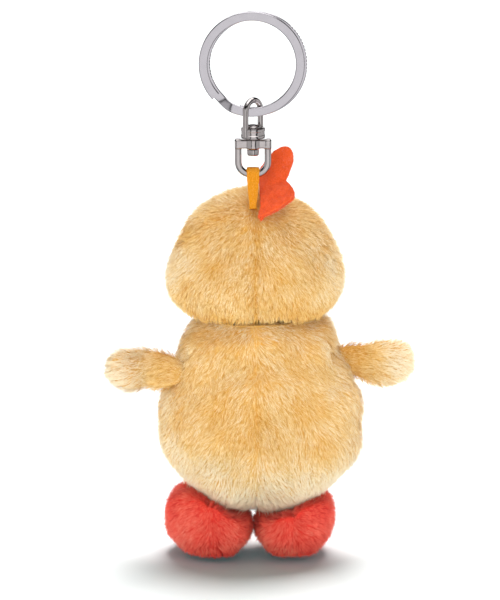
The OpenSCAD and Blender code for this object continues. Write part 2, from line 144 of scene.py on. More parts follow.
def make_piece(name, points, quads=(), triangles=(), material_of=None, materials=(), normals=None):
    """A smooth mesh object from millimetre points. quads and triangles hold point numbers."""
    quads = np.asarray(quads, np.int32).reshape(-1, 4)
    triangles = np.asarray(triangles, np.int32).reshape(-1, 3)
    mesh = bpy.data.meshes.new(name)
    mesh.vertices.add(len(points))
    mesh.vertices.foreach_set("co", (np.asarray(points) * MM).astype(np.float32).ravel())
    mesh.loops.add(quads.size + triangles.size)
    mesh.loops.foreach_set("vertex_index", np.concatenate([quads.ravel(), triangles.ravel()]))
    mesh.polygons.add(len(quads) + len(triangles))
    starts = np.concatenate([np.arange(len(quads)) * 4, quads.size + np.arange(len(triangles)) * 3])
    mesh.polygons.foreach_set("loop_start", starts.astype(np.int32))
    for m in materials:
        mesh.materials.append(m)
    if material_of is not None:
        mesh.polygons.foreach_set("material_index", np.asarray(material_of, np.int32))
    mesh.update(calc_edges=True)
    mesh.polygons.foreach_set("use_smooth", np.ones(len(mesh.polygons), bool))
    if normals is not None:
        mesh.normals_split_custom_set_from_vertices(normals.astype(np.float32))
    piece = bpy.data.objects.new(name, mesh)
    bpy.context.scene.collection.objects.link(piece)
    return piece


def point_normals(points, quads, triangles=()):
    """Outward normals at the points of a mesh."""
    total = np.zeros_like(points)
    for corners in (np.asarray(quads).reshape(-1, 4), np.asarray(triangles, int).reshape(-1, 3)):
        if len(corners):
            last = corners.shape[1] - 1
            start = points[corners[:, 0]]
            face = np.cross(points[corners[:, 1]] - start, points[corners[:, last]] - start)
            for k in range(corners.shape[1]):
                np.add.at(total, corners[:, k], face)
    return unit(total)


# ---- materials ----

def new_material(name, **sockets):
    """A Principled material with constants on the shader's own sockets. Returns it and its shader."""
    material = bpy.data.materials.new(name)
    material.use_nodes = True
    shader = material.node_tree.nodes["Principled BSDF"]
    for key, value in sockets.items():
        shader.inputs[key.replace("_", " ").title().replace("Ior", "IOR")].default_value = value
    return material, shader


def add_node(owner, kind, inputs=None, **settings):
    """A node of a material or world. An input's value is a constant or another node's output."""
    node = owner.node_tree.nodes.new("ShaderNode" + kind)
    for key, value in settings.items():
        setattr(node, key, value)
    for key, value in (inputs or {}).items():
        if isinstance(value, bpy.types.NodeSocket):
            owner.node_tree.links.new(value, node.inputs[key])
        else:
            node.inputs[key].default_value = value
    return node


def colour_ramp(owner, fac, stops):
    """A ramp from a value to colours. stops are (place, colour)."""
    ramp = add_node(owner, "ValToRGB", {"Fac": fac})
    elements = ramp.color_ramp.elements
    while len(elements) < len(stops):
        elements.new(0.5)
    for element, (place, colour) in zip(elements, stops):
        element.position = place
        element.color = (*colour, 1)
    return ramp.outputs["Color"]


def surface(material, shader, value, stops, height, strength, distance):
    """Colours a shader by a value and roughens it by a height. distance is in metres."""
    links = material.node_tree.links
    links.new(colour_ramp(material, value, stops), shader.inputs["Base Color"])
    bump = add_node(material, "Bump", {"Height": height, "Strength": strength, "Distance": distance})
    links.new(bump.outputs["Normal"], shader.inputs["Normal"])


def linear(red, green, blue):
    """A display colour from 0 to 255 as linear light."""
    shares = [c / 255 for c in (red, green, blue)]
    return tuple(((c + 0.055) / 1.055) ** 2.4 if c > 0.04 else c / 12.92 for c in shares)


def mix_colours(a, b, share):
    """The colour that is a share of the way from a to b."""
    return tuple(x + (y - x) * share for x, y in zip(a, b))


CREAM = [linear(226, 158, 56), linear(240, 194, 106), linear(249, 218, 158), linear(254, 238, 204)]
CORAL = [linear(222, 36, 32), linear(246, 76, 60), linear(253, 108, 86), linear(255, 152, 126)]
TONES = 8


def pile_tones(name, colours, sheen):
    """The fibres' materials, from dark tones for the roots, painted shade, to the paler tips."""
    made = []
    for k in range(TONES):
        place = k / (TONES - 1) * (len(colours) - 1)
        i = min(int(place), len(colours) - 2)
        colour = mix_colours(colours[i], colours[i + 1], place - i)
        material, _ = new_material(
            f"{name}_{k}", base_color=(*colour, 1), roughness=0.62, sheen_weight=sheen, sheen_roughness=0.45,
            sheen_tint=(*mix_colours(colour, (1, 1, 1), 0.3), 1),
        )
        made.append(material)
    return made


def cloth_material(name, colours):
    """The woven ground under the pile, mottled, with its own fine nap."""
    material, shader = new_material(name, roughness=0.85, sheen_weight=0.1, sheen_tint=(*colours[1], 1))
    place = add_node(material, "TexCoord").outputs["Object"]
    patches = add_node(material, "TexNoise", {"Vector": place, "Scale": 260, "Detail": 5, "Roughness": 0.62})
    nap = add_node(material, "TexNoise", {"Vector": place, "Scale": 2600, "Detail": 2})
    uneven = {0: patches.outputs["Fac"], 1: nap.outputs["Fac"], 2: 0.25}
    both = add_node(material, "Math", uneven, operation="MULTIPLY_ADD")
    stops = [(0.3, colours[0]), (0.55, colours[1]), (0.8, colours[2])]
    surface(material, shader, both.outputs[0], stops, nap.outputs["Fac"], 0.6, 0.0002)
    return material


# ---- skins: smooth grids drawn over the CAD's soft solids ----

class Skin:
    """A mesh in the making: its points, faces and normals."""

    def __init__(self, points, quads, triangles):
        self.points = points
        self.quads = quads
        self.triangles = triangles
        self.update()

    def update(self):
        """Makes the normals anew after the points have moved."""
        self.normals = point_normals(self.points, self.quads, self.triangles)

    def push(self, distance):
        """Moves each point out along its normal."""
        self.points = self.points + self.normals * np.asarray(distance).reshape(-1, 1)
        self.update()


def grid_quads(at):
    """Faces between rows of point numbers, each row a closed ring."""
    beside = np.roll(at, -1, axis=1)
    return np.stack([at[:-1], beside[:-1], beside[1:], at[1:]], axis=-1).reshape(-1, 4)


def fan(ring, middle, downward=False):
    """Triangles from a ring of point numbers to the point in its middle."""
    after = np.roll(ring, -1)
    first, second = (after, ring) if downward else (ring, after)
    return np.stack([first, second, np.full(len(ring), middle)], axis=1)


def wrap(nodes, centre, latitudes, around, inset, bottom=True, base=None):
    """A skin from rays that run in to the centre and stop at the CAD nodes, smoothed and set in.

    bottom closes it below the lowest latitude, and base is the height of a flat underside.
    """
    tree = cad_tree(nodes)
    lat = np.radians(latitudes)[:, None]
    lon = np.arange(around)[None] * 2 * math.pi / around
    rays = np.stack(
        np.broadcast_arrays(np.cos(lat) * np.cos(lon), np.cos(lat) * np.sin(lon), np.sin(lat)), axis=-1,
    )
    far = 90  # outside every pouch
    reach = np.zeros(rays.shape[:2])
    for i in range(len(lat)):
        for j in range(around):
            ray = Vector(rays[i, j])
            hit = tree.ray_cast(Vector(centre) + ray * far, -ray, far)
            reach[i, j] = (hit[0] - Vector(centre)).length if hit[0] is not None else reach[i - 1, j]

    # Close the gaps between panels, which are narrower than slit steps to each side
    slit = 3
    if base is not None:
        below = np.concatenate([np.repeat(reach[:1], slit, 0), reach[:-slit]])
        above = np.concatenate([reach[slit:], np.repeat(reach[-1:], slit, 0)])
        reach = np.maximum(reach, np.minimum(below, above))
        reach = np.minimum(reach, (centre[2] - base) / np.maximum(-rays[..., 2], 0.01))
    reach = np.maximum(reach, np.minimum(np.roll(reach, slit, 1), np.roll(reach, -slit, 1)))
    smoothings = 6
    for _ in range(smoothings):
        padded = np.concatenate([reach[:1], reach, reach[-1:]])
        beside = (np.roll(reach, 1, 1) + np.roll(reach, -1, 1)) / 2
        above = (padded[2:] + padded[:-2]) / 2
        reach = reach * 0.4 + beside * 0.3 + above * 0.3

    points = (centre + rays * reach[..., None]).reshape(-1, 3)
    count = len(points)
    at = np.arange(count).reshape(-1, around)
    caps = [points[-around:].mean(0)]
    triangles = [fan(at[-1], count)]
    if bottom:
        caps.append(points[:around].mean(0))
        triangles.append(fan(at[0], count + 1, downward=True))
    skin = Skin(np.concatenate([points, caps]), grid_quads(at), np.concatenate(triangles))
    skin.push(-inset)
    return skin


def skin_piece(name, skin, material):
    """An object from a skin."""
    return make_piece(name, skin.points, skin.quads, skin.triangles, materials=[material])


def scatter(skin, per_square, rng):
    """Random points over a skin with their normals."""
    triangles = np.concatenate([skin.quads[:, [0, 1, 2]], skin.quads[:, [0, 2, 3]], skin.triangles])
    a, b, c = (skin.points[triangles[:, k]] for k in range(3))
    area = np.linalg.norm(np.cross(b - a, c - a), axis=1) / 2
    count = int(area.sum() * per_square)
    picked = rng.choice(len(triangles), count, p=area / area.sum())
    u = rng.random(count)
    v = rng.random(count)
    over = u + v > 1
    u[over] = 1 - u[over]
    v[over] = 1 - v[over]
    weights = np.stack([1 - u - v, u, v], axis=1)
    corners = triangles[picked]
    points = np.einsum("nk,nkx->nx", weights, skin.points[corners])
    normals = unit(np.einsum("nk,nkx->nx", weights, skin.normals[corners]))
    return points, normals


def with_cuff(skin, around):
    """The head's skin with its rim turned in and up, close round the ball of the neck."""
    neck = pivot("neck_tilt")
    rim = skin.points[:around] - neck
    ball = neck_ball + 0.25
    bearing = unit(rim * [1, 1, 0])
    start = math.acos(min(0.99, float(np.mean(rim[:, 2]) + 0.6) / ball))
    rows = [
        neck + ball * (math.sin(start - turn) * bearing + math.cos(start - turn) * UP)
        for turn in (0.3, 0.15, 0.0)
    ]
    points = np.concatenate([*rows, skin.points])
    extra = len(rows) * around
    added = grid_quads(np.arange(extra + around).reshape(-1, around))
    return Skin(points, np.concatenate([added, skin.quads + extra]), skin.triangles + extra)


# ---- pile: every fibre is a thin tapering blade ----

LEVELS = 3  # stations along a blade, the tip included


def fibre_lines(roots, normals, flow, length, stand, lie):
    """Points along fibres that rise at an angle stand from the normal and bend over to the angle lie."""
    lines = [roots]
    for k in range(LEVELS - 1):
        angle = np.radians(stand + (lie - stand) * (k + 0.5) / (LEVELS - 1))[:, None]
        stride = (length / (LEVELS - 1))[:, None]
        lines.append(lines[-1] + stride * (np.cos(angle) * normals + np.sin(angle) * flow))
    return np.stack(lines, axis=1)


def swirl(flow, normals, angle):
    """Turns each flow direction about its normal."""
    turn = angle[:, None]
    return flow * np.cos(turn) + np.cross(normals, flow) * np.sin(turn)


def make_pile(name, skin, flow_of, tones, seed, per_square=10.5, length=2.7, width=0.15, stand=38, lie=78,
              lock=1.2, gather=0.3, keep=None, shade=None, length_of=None, variety=0.055):
    """A piece of thousands of fibres on a skin, per_square of them on a square millimetre.

    flow_of says which way they lie, keep where they grow, shade how much paler they are there and length_of
    how long. stand and lie are their angles from upright at root and tip. They gather in locks of size lock.
    """
    rng = np.random.default_rng(seed)
    roots, normals = scatter(skin, per_square, rng)
    if keep is not None:
        kept = keep(roots)
        roots, normals = roots[kept], normals[kept]
    count = len(roots)

    def whole(points, normals):
        flow = unit(flat_on(flow_of(points), normals))
        return swirl(flow, normals, 0.2 * ripple(points, 9, seed + 1) + 0.14 * ripple(points, 3.5, seed + 2))

    def lengths(points):
        return length * (1 if length_of is None else length_of(points))

    flow = whole(roots, normals)
    strays = rng.random(count) < 0.05
    own_length = lengths(roots) * rng.uniform(0.72, 1.08, count) * np.where(strays, 1.2, 1)
    lines = fibre_lines(
        roots, normals, swirl(flow, normals, rng.normal(0, 0.22, count)), own_length,
        stand + rng.normal(0, 7, count), lie + rng.normal(0, 7, count) - np.where(strays, 26, 0),
    )

    # Each fibre leans towards the line of the nearest lock
    area = count / per_square
    heads = rng.choice(count, max(4, int(area / lock**2)), replace=False)
    finder = kdtree.KDTree(len(heads))
    for i, h in enumerate(heads):
        finder.insert(Vector(roots[h]), i)
    finder.balance()
    nearest = np.array([finder.find(Vector(p))[1] for p in roots])
    locks = fibre_lines(
        roots[heads], normals[heads], flow[heads], lengths(roots[heads]) * rng.uniform(0.9, 1.1, len(heads)),
        np.full(len(heads), float(stand)) + rng.normal(0, 6, len(heads)), np.full(len(heads), float(lie)),
    )
    spread = roots - roots[heads][nearest]
    goal = locks[nearest] + 0.35 * spread[:, None]
    share = gather * (np.arange(LEVELS) / (LEVELS - 1)) ** 1.3
    share = share[None, :, None] * np.where(strays, 0.2, 1)[:, None, None]
    lines = lines * (1 - share) + goal * share

    along = unit(np.diff(lines, axis=1))
    along = np.concatenate([along, along[:, -1:]], axis=1)
    out = normals[:, None]
    side = unit(np.cross(along, np.broadcast_to(out, along.shape)))
    twist = rng.normal(0, 0.3, count)[:, None, None]
    side = side * np.cos(twist) + np.cross(along, side) * np.sin(twist)
    taper = np.linspace(1, 0.6, LEVELS)[:-1]
    half = width / 2 * taper[None, :, None] * rng.uniform(0.75, 1.25, count)[:, None, None]
    left = lines[:, :-1] - side[:, :-1] * half
    right = lines[:, :-1] + side[:, :-1] * half
    points = np.concatenate([np.stack([left, right], axis=2).reshape(count, -1, 3), lines[:, -1:]], axis=1)

    face = unit(np.cross(side, along))
    soft = unit(out * 0.75 + face * 0.45)
    round_off = 0.45
    rounding = round_off * side[:, :-1]
    edges = np.stack([unit(soft[:, :-1] - rounding), unit(soft[:, :-1] + rounding)], axis=2)
    shown = np.concatenate([edges.reshape(count, -1, 3), soft[:, -1:]], axis=1)

    first = (np.arange(count) * points.shape[1])[:, None, None]
    quads = first + np.array([[2 * k, 2 * k + 1, 2 * k + 3, 2 * k + 2] for k in range(LEVELS - 2)])[None]
    tips = first + np.array([[2 * LEVELS - 4, 2 * LEVELS - 3, 2 * LEVELS - 2]])[None]

    tone = 0.45 + variety * (ripple(roots, 5, seed + 3) + 0.7 * ripple(roots, 12, seed + 4))
    tone = tone + variety * (rng.normal(0, 0.8, len(heads))[nearest] + rng.normal(0, 1, count))
    if shade is not None:
        tone = tone + shade(roots)
    # Each blade is darker at its root, painted shade deep in the pile, and paler at its tip
    by_face = tone[:, None] + np.linspace(-0.13, 0.15, LEVELS - 1)[None]
    index = np.clip(np.round(by_face * (TONES - 1)), 0, TONES - 1).astype(int)
    return make_piece(
        name, points.reshape(-1, 3), quads.reshape(-1, 4), tips.reshape(-1, 3),
        material_of=np.concatenate([index[:, :-1].ravel(), index[:, -1]]), materials=tones,
        normals=shown.reshape(-1, 3),
    )


# ---- camera, first because the frame decides it ----

def make_camera():
    """Behind the chick and a little above, far off with a long lens."""
    elevation = math.radians(12)
    distance = 1500
    seen_height = 159.24  # what the picture's long side spans at the chick
    aim = np.array([0.8, mid_y, floor_z + 67.46])
    camera = bpy.data.objects.new("camera", bpy.data.cameras.new("camera"))
    camera.data.lens = camera.data.sensor_width * distance / seen_height
    back = np.array([0, math.cos(elevation), math.sin(elevation)])
    camera.location = (aim + back * distance) * MM
    camera.rotation_euler = Vector(-back).to_track_quat("-Z", "Y").to_euler()
    camera.data.clip_start = 0.05
    camera.data.clip_end = 20
    bpy.context.scene.collection.objects.link(camera)
    bpy.context.scene.camera = camera


make_camera()


# ---- plush pieces ----

SOLE_NAP = 1.7  # how far the plush stands below the CAD's soles

cream_tones = pile_tones("cream_pile", CREAM, 0.5)
coral_tones = pile_tones("coral_pile", CORAL, 0.3)
hem_tones = pile_tones("hem", [linear(196, 120, 84), linear(226, 160, 118)], 0.2)
cream_cloth = cloth_material("cream_cloth", CREAM)
coral_cloth = cloth_material("coral_cloth", CORAL)


def above_rim(points):
    """Heights over the head's lower rim, where the torso begins."""
    return points[:, 2] - head_low[2]


def back_seam(points):
    """1 on the seam up the middle of the back, fading out beside it and to the front."""
    return bell(points[:, 0] - plush_x, 1.5) * step(0, 6, points[:, 1] - mid_y)


def parting(points):
    """The direction away from the back seam, strong near it."""
    beside = points[:, 0] - plush_x
    strength = 0.35 + 0.65 * np.exp(-np.abs(beside) / 7)  # falls off over 7 mm
    pull = np.zeros_like(points)
    pull[:, 0] = np.tanh(beside / 0.6) * strength * step(-4, 8, points[:, 1] - mid_y)
    return pull


def painted_rim_light(points, centre):
    """Painted rim light: the fibres on the flanks are paler than those on the back and the front."""
    out = unit((points - centre) * [1, 1, 0.6])
    return 0.14 * step(0.62, 0.97, np.abs(out[:, 0]))


def head_flow(points):
    """The head's fibres fall from a whorl by the tape, part at the back seam and turn in at the rim."""
    centre = np.array([plush_x, mid_y, (head_low[2] + head_high[2]) / 2])
    whorl = np.array([plush_x, tape_foot[1], head_high[2]])
    normals = unit(points - centre)
    away = unit(flat_on(points - whorl, normals))
    spread = 0.75 * step(0, 12, whorl[2] - points[:, 2]) * step(0, 9, above_rim(points))
    inward = (centre - points) * [1, 1, 0] / 20 * step(4, 0, above_rim(points))[:, None]
    return 0.7 * away + DOWN + inward + parting(points) * spread[:, None]


def torso_flow(points):
    """The torso's fibres fall and spread a little from the back seam."""
    out = np.zeros_like(points)
    out[:, 0] = (points[:, 0] - plush_x) / 26
    return DOWN + 0.55 * parting(points) + 0.45 * out


def make_head():
    """Four sewn panels with a back seam, a short dart, a dimple over the neck and a rim that turns in."""
    centre = np.array([plush_x, mid_y, head_low[2] + 15.8])
    rim = -38
    around = 150
    skin = wrap(HEAD_PANELS, centre, np.linspace(rim, 89, 92), around, 1.5, bottom=False)
    skin = with_cuff(skin, around)
    dimple = np.array([plush_x, mid_y + 18.5, head_low[2] + 5])

    def dart(points):
        """A short slanted crease on the left of the head's back."""
        aside = points[:, 0] - plush_x - 17
        above = points[:, 2] - head_high[2] + 12
        return bell(aside + above, 1.4) * bell(aside - above, 5) * (points[:, 1] > mid_y)

    above = above_rim(skin.points)
    seam_depth = 0.8
    dimple_depth = 1.3
    dart_depth = 1.6
    depth = seam_depth * back_seam(skin.points) * step(1, 6, above) + dart_depth * dart(skin.points)
    depth += dimple_depth * bell(np.linalg.norm(skin.points - dimple, axis=1), 2.4)
    aside = skin.normals[:, 0]
    left_cheek = 1.2
    right_cheek = 0.5
    drawn_in = 1.1 * step(4, 1, above)
    full = np.where(aside > 0, left_cheek, right_cheek) * aside**2 * step(0, 8, above)
    skin.push(0.3 * ripple(skin.points, 7, 11) + full - drawn_in - depth)
    skin.points[:, 2] -= 0.5 * step(4, 0.5, above_rim(skin.points))
    skin.update()
    cloth = skin_piece("head_cloth", skin, cream_cloth)

    def shade(points):
        # Painted rim light on the flanks; painted shade in the seam and dart creases and over the lower rim
        painted_crease_shade = 0.25 * back_seam(points) ** 4 + 0.4 * dart(points)
        return painted_rim_light(points, centre) - painted_crease_shade - 0.3 * step(13, 0, above_rim(points))

    pile = make_pile(
        "head_pile", skin, head_flow, cream_tones, 21, keep=lambda p: above_rim(p) > -1, shade=shade,
        length_of=lambda p: 1 + 0.25 * step(3, 0, above_rim(p)),
    )
    start = pivot("neck_tilt")
    end = start.copy()
    start[2] = head_low[2] + 8
    end[2] = head_low[2] - 4
    for piece in (cloth, pile):
        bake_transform(piece)
    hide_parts(*HEAD_PANELS, "head_stuffing")


def make_torso():
    """Four sewn panels, full at the shoulders and the neck, with a pucker where the pouch was closed."""
    centre = np.array([plush_x, mid_y, torso_low[2] + 26.5])
    skin = wrap(TORSO_PANELS, centre, np.linspace(-89, 66, 120), 150, 1.5)
    closing = np.array([plush_x - 1.8, mid_y + 21, torso_low[2] + 26])
    seam_depth = 0.55
    pucker_depth = 1.1
    depth = seam_depth * back_seam(skin.points) * step(0, -8, above_rim(skin.points))
    depth += pucker_depth * bell(np.linalg.norm((skin.points - closing) / [2, 4, 5], axis=1), 1)
    skin.push(0.35 * ripple(skin.points, 8, 12) - depth)
    out = unit((skin.points - centre) * [1, 1, 0])
    aside = out[:, 0]
    up = above_rim(skin.points)
    shoulder = np.where(aside < 0, 3.6, 1.3) * step(-17, -3.5, up) * step(2.5, -1.5, up)
    hip = 1.3 * (aside < -0.5) * bell(skin.points[:, 2] - torso_low[2] - 13, 6)
    nape = 2.8 * step(-10, -2, up) * step(4, 1, up) * (1 - aside**2)
    full = (0.5 + shoulder + hip) * aside**2 + nape
    skin.points = skin.points + full[:, None] * out
    skin.update()
    cloth = skin_piece("torso_cloth", skin, cream_cloth)

    def shade(points):
        # Painted light: paler towards the bottom, as lit from the floor, and on the flanks as rim light
        painted_light = 0.55 * step(24, 2, points[:, 2] - torso_low[2]) + painted_rim_light(points, centre)
        # Painted shade in the back seam's crease; painted light just under the head's rim, against its
        # shadow
        return painted_light - 0.12 * back_seam(points) + 0.15 * step(-4, -1, above_rim(points))

    pile = make_pile(
        "torso_pile", skin, torso_flow, cream_tones, 22, per_square=8.0, shade=shade,
        keep=lambda p: above_rim(p) < 4,
        length_of=lambda p: 1 + 0.5 * step(9, 2, p[:, 2] - torso_low[2]),
    )
    for piece in (cloth, pile):
        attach(piece, "torso")
    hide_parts(*TORSO_PANELS, "body_stuffing")


def make_wing(side, seed, root, tall):
    """A flat pouch.

    root is how far its end is drawn in and round to where it's sewn to the torso, tall how much its tip
    grows in height.
    """
    root = np.array(root)
    nodes = [f"wing_{side}_front_panel", f"wing_{side}_back_panel"]
    low, high = span(*nodes)
    centre = (low + high) / 2
    hinge = pivot(f"wing_{side}_sweep")
    corners = np.array([v.co for n in nodes for v in frame["nodes"][n].data.vertices]) / MM
    reach = np.linalg.norm((corners - hinge)[:, :2], axis=1)
    tip = corners[np.argmax(reach)]
    out = unit((tip - hinge) * [1, 1, 0])
    skin = wrap(nodes, centre, np.linspace(-88, 88, 44), 72, 1.2)
    past = (skin.points - hinge) @ out
    skin.points = skin.points + root * step(2.5, -4.5, past)[:, None]
    skin.points[:, 2] += tall * (skin.points[:, 2] - centre[2]) * step(5, 14, past)
    skin.update()
    skin.push(0.2 * ripple(skin.points, 5, 13))
    cloth = skin_piece(f"wing_{side}_cloth", skin, cream_cloth)
    pile = make_pile(
        f"wing_{side}_pile", skin, lambda p: out + DOWN * 0.25, cream_tones, seed,
        # Paler all over, with painted shade towards the root where it's sewn against the torso
        shade=lambda p: 0.55 - 0.66 * step(9, -3, (p - hinge) @ out),
    )
    for piece in (cloth, pile):
        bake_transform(piece)
    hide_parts(*nodes, f"wing_{side}_stuffing")


def make_foot(side, seed, skew):
    """A sewn ball on a sole whose sides curve up, drawn up to the torso at the top.

    skew is how far back the heel is for each millimetre towards the other foot.
    """
    upper = f"foot_{side}_upper"
    low, high = span(upper)
    centre = (low + high) / 2
    centre[2] = low[2] + 7
    heel = np.array([centre[0], high[1], low[2] + 6])
    skin = wrap([upper, f"foot_{side}_sole"], centre, np.linspace(-88, 88, 60), 96, 0.9, base=low[2])
    over = skin.points[:, 2] - skin.points[:, 2].min()
    at_heel = step(0, 6, skin.points[:, 1] - centre[1]) * step(0.5, 2, over)
    seam = bell(skin.points[:, 0] - centre[0], 1.2) * at_heel
    hem = bell(over - 1.3, 0.9)
    seam_depth = 0.7
    hem_depth = 0.45
    skin.push(0.15 * ripple(skin.points, 5, 14) - seam_depth * seam - hem_depth * hem)
    over = skin.points[:, 2] - skin.points[:, 2].min()
    tuck = 1 - 0.15 * step(4.5, 0, over) + 0.02 * step(0, 8, over)
    skin.points[:, :2] = centre[:2] + (skin.points[:, :2] - centre[:2]) * tuck[:, None]

    def rocker(points):
        """How far the sole curves up towards its sides."""
        return 2.4 * step(0.3, 1, 2 * np.abs(points[:, 0] - centre[0]) / (high - low)[0])

    skin.points[:, 2] += (rocker(skin.points) - SOLE_NAP - 0.2) * step(4.5, 0, over)
    skin.points[:, 2] += (0.6 + 0.2 * np.abs(skin.points[:, 1] - mid_y)) * step(5, 11, over)
    outer = np.sign(centre[0] - mid_x)
    inward = (centre[0] - skin.points[:, 0]) * outer
    skin.points[:, 1] += (1.1 + skew * inward) * step(-2, 10, skin.points[:, 1] - centre[1])
    inner = step(2, 9, inward)
    skin.points[:, 0] += outer * 1.2 * inner * step(5, 9, over)
    skin.update()

    def flow(points):
        out = (points - heel) * [1, 0.6, 0.8]
        return 0.6 * unit(out) + 0.8 * DOWN

    cloth = skin_piece(f"foot_{side}_cloth", skin, coral_cloth)
    pile = make_pile(
        f"foot_{side}_pile", skin, flow, coral_tones, seed, per_square=12.0, length=2.2, width=0.16,
        stand=22, lie=62, lock=1.4, gather=0.4,
        length_of=lambda p: 0.4 + 0.6 * step(low[2] - 0.6, low[2] + 1.4, p[:, 2]),
        # Painted shade: darker along the lower edge, in the crease of the hem
        shade=lambda p: -0.25 * step(low[2] + 2.6, low[2] + 1, p[:, 2]),
    )
    fringe = make_pile(
        f"foot_{side}_hem", skin, lambda p: (p - centre) * [1, 1, 0] + 6 * DOWN, hem_tones, 27,
        per_square=16.0, length=1.1, stand=50, lie=80, lock=1.0, gather=0.2,
        keep=lambda p: np.abs(p[:, 2] - low[2] - 0.1 - 0.8 * rocker(p)) < 0.4,
    )
    for piece in (cloth, pile):
        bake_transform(piece)
    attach(fringe, f"foot_{side}")
    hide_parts(upper, f"foot_{side}_sole", f"foot_{side}_stuffing")


make_head()
make_torso()
make_wing("left", 23, [-8, 10.5, -1], 0)
make_wing("right", 24, [6.5, -1, 0], 0.16)
make_foot("left", 25, 0.3)
make_foot("right", 26, 0.1)


# ---- hard parts, tape and felt ----

def outward(points, quads, triangles):
    """The faces turned so that a closed mesh's normals look out."""
    split = np.concatenate([quads[:, [0, 1, 2]], quads[:, [0, 2, 3]], triangles])
    a, b, c = (points[split[:, k]] for k in range(3))
    if np.sum(np.cross(a, b) * c) < 0:
        return quads[:, ::-1], triangles[:, ::-1]
    return quads, triangles


def sweep(sections):
    """A closed skin through rings of points, shaped (stations, ring, 3)."""
    points = sections.reshape(-1, 3)
    count = len(points)
    at = np.arange(count).reshape(sections.shape[:2])
    points = np.concatenate([points, [sections[0].mean(0), sections[-1].mean(0)]])
    caps = np.concatenate([fan(at[0], count, downward=True), fan(at[-1], count + 1)])
    return Skin(points, *outward(points, grid_quads(at), caps))


def rounded(width, height, radius, corner=5):
    """The outline of a rounded rectangle about 0, 0."""
    outline = []
    for k, (sx, sy) in enumerate([(1, 1), (-1, 1), (-1, -1), (1, -1)]):
        for i in range(corner):
            angle = math.pi / 2 * (k + i / (corner - 1))
            x = sx * (width / 2 - radius) + radius * math.cos(angle)
            y = sy * (height / 2 - radius) + radius * math.sin(angle)
            outline.append((x, y))
    return np.array(outline)


def circle(radius, count):
    """The outline of a circle about 0, 0."""
    angle = np.arange(count) * 2 * math.pi / count
    return radius * np.stack([np.cos(angle), np.sin(angle)], axis=1)


def tube(path, across, outlines):
    """A sweep of outlines along a path. across is the outlines' first axis at each point of the path."""
    along = unit(np.gradient(path, axis=0))
    second = unit(np.cross(along, across))
    outlines = np.broadcast_to(outlines, (len(path), *np.shape(outlines)[-2:]))
    return sweep(path[:, None] + outlines[..., :1] * across[:, None] + outlines[..., 1:] * second[:, None])


def lathe(profile, place):
    """A skin from (radius, height) pairs turned about an upright axis."""
    sides = 48
    angle = np.arange(sides) * 2 * math.pi / sides
    profile = np.array(profile, float)
    ring = np.stack([np.cos(angle), np.sin(angle), np.zeros(sides)], axis=1)
    return sweep(place + profile[:, :1, None] * ring[None] + profile[:, 1:, None] * UP)


def fuse(name, skins, material, bevel=0.12):
    """One piece from several closed skins, with a small round where they meet."""
    parts = [make_piece(f"{name}_{k}", s.points, s.quads, s.triangles) for k, s in enumerate(skins)]
    whole = parts[0]
    for part in parts[1:]:
        join = whole.modifiers.new("join", "BOOLEAN")
        join.operation = "UNION"
        join.solver = "EXACT"
        join.object = part
    edge = whole.modifiers.new("edge", "BEVEL")
    edge.width = bevel * MM
    edge.segments = 2
    edge.limit_method = "ANGLE"
    edge.angle_limit = math.radians(38)
    mesh = bpy.data.meshes.new_from_object(whole.evaluated_get(bpy.context.evaluated_depsgraph_get()))
    for part in parts:
        bpy.data.objects.remove(part)
    mesh.name = name
    mesh.materials.clear()
    mesh.materials.append(material)
    mesh.polygons.foreach_set("use_smooth", np.ones(len(mesh.polygons), bool))
    mesh.set_sharp_from_angle(angle=math.radians(35))
    piece = bpy.data.objects.new(name, mesh)
    bpy.context.scene.collection.objects.link(piece)
    return piece


def metal(name, colour, roughness, wear):
    """Polished plating with faint smears and hairlines."""
    material, shader = new_material(name, metallic=1.0, roughness=roughness)
    place = add_node(material, "TexCoord").outputs["Object"]
    smear = add_node(material, "TexNoise", {"Vector": place, "Scale": 420, "Detail": 4})
    spread = add_node(material, "MapRange", {
        "Value": smear.outputs["Fac"], "To Min": roughness * 0.6, "To Max": roughness * 1.5,
    })
    material.node_tree.links.new(spread.outputs[0], shader.inputs["Roughness"])
    stops = [(0.3, mix_colours(colour, (0, 0, 0), wear)), (0.6, colour)]
    hairs = add_node(material, "TexNoise", {"Vector": place, "Scale": 2400, "Detail": 3})
    surface(material, shader, smear.outputs["Fac"], stops, hairs.outputs["Fac"], 0.12, 0.00005)
    return material


def felt(name, colour):
    """Pressed fibres: mottled at the size of a thread, with a soft grain."""
    material, shader = new_material(
        name, roughness=0.9, sheen_weight=0.25, sheen_tint=(*mix_colours(colour, (1, 1, 1), 0.5), 1),
    )
    place = add_node(material, "TexCoord").outputs["Object"]
    grain = add_node(material, "TexNoise", {"Vector": place, "Scale": 3200, "Detail": 3, "Roughness": 0.7})
    cloud = add_node(material, "TexNoise", {"Vector": place, "Scale": 300, "Detail": 3})
    both = add_node(material, "Math", {0: cloud.outputs["Fac"], 1: 0.25}, operation="MULTIPLY_ADD")
    material.node_tree.links.new(grain.outputs["Fac"], both.inputs[2])
    dark = mix_colours(colour, (0, 0, 0), 0.25)
    pale = mix_colours(colour, (1, 1, 1), 0.0625)
    stops = [(0.4, dark), (0.62, colour), (0.9, pale)]
    surface(material, shader, both.outputs[0], stops, grain.outputs["Fac"], 0.5, 0.00015)
    return material


